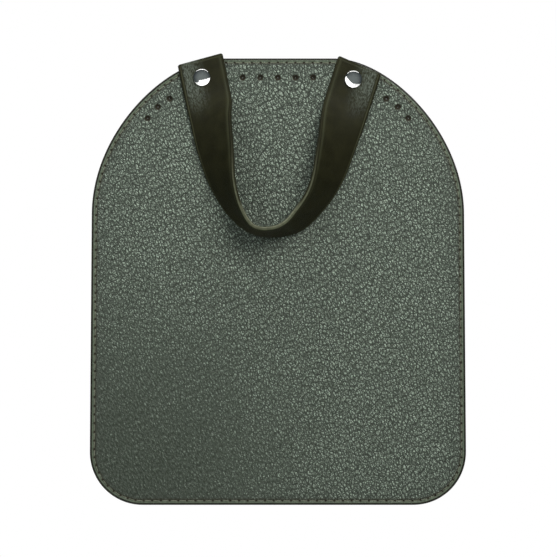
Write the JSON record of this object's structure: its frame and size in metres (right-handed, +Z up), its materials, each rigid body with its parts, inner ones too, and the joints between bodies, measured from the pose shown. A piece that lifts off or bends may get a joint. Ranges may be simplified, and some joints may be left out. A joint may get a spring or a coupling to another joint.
{
  "type": "bag flap with carry handle",
  "caption": "Arched flat leather bag flap with a stitched edge, punched sewing holes and a riveted strap handle that lifts off its face.",
  "frame": {"origin": "on the back face of the lining, on the centre line, 7 mm below the middle row of sewing holes", "axes": "+Z up towards the sewn, arched edge; +Y out of the back, towards the bag; the pebbled front with the handle faces -Y; +X to the right of someone facing the front"},
  "size_m": [0.2, 0.0301, 0.2403],
  "materials": {
    "pebbled_leather": "pebbled, semi-gloss",
    "fibre_board": "matt",
    "suede_lining": "napped, matt",
    "thread": "twisted polyester",
    "strap_leather": "smooth, satin",
    "strap_backing": "smooth, matt",
    "nickel": "polished nickel"
  },
  "bodies": {
    "flap": {"front_panel": "pebbled_leather", "stiffener_board": "fibre_board", "lining_panel": "suede_lining", "needle_thread": "thread", "bobbin_thread": "thread", "strap_face_left_end": "strap_leather", "strap_face_right_end": "strap_leather", "strap_backing_left_end": "strap_backing", "strap_backing_right_end": "strap_backing", "rivet_cap_left": "nickel", "rivet_post_left": "nickel", "rivet_cap_right": "nickel", "rivet_post_right": "nickel"},
    "handle": {"strap_face_loop": "strap_leather", "strap_backing_loop": "strap_backing"}
  },
  "joints": [
    {"name": "handle_lift", "type": "hinge", "parent": "flap", "child": "handle", "pos_m": [0, -0.0063, 0], "axis": [-1, 0, 0], "range_deg": [0, 110]}
  ]
}
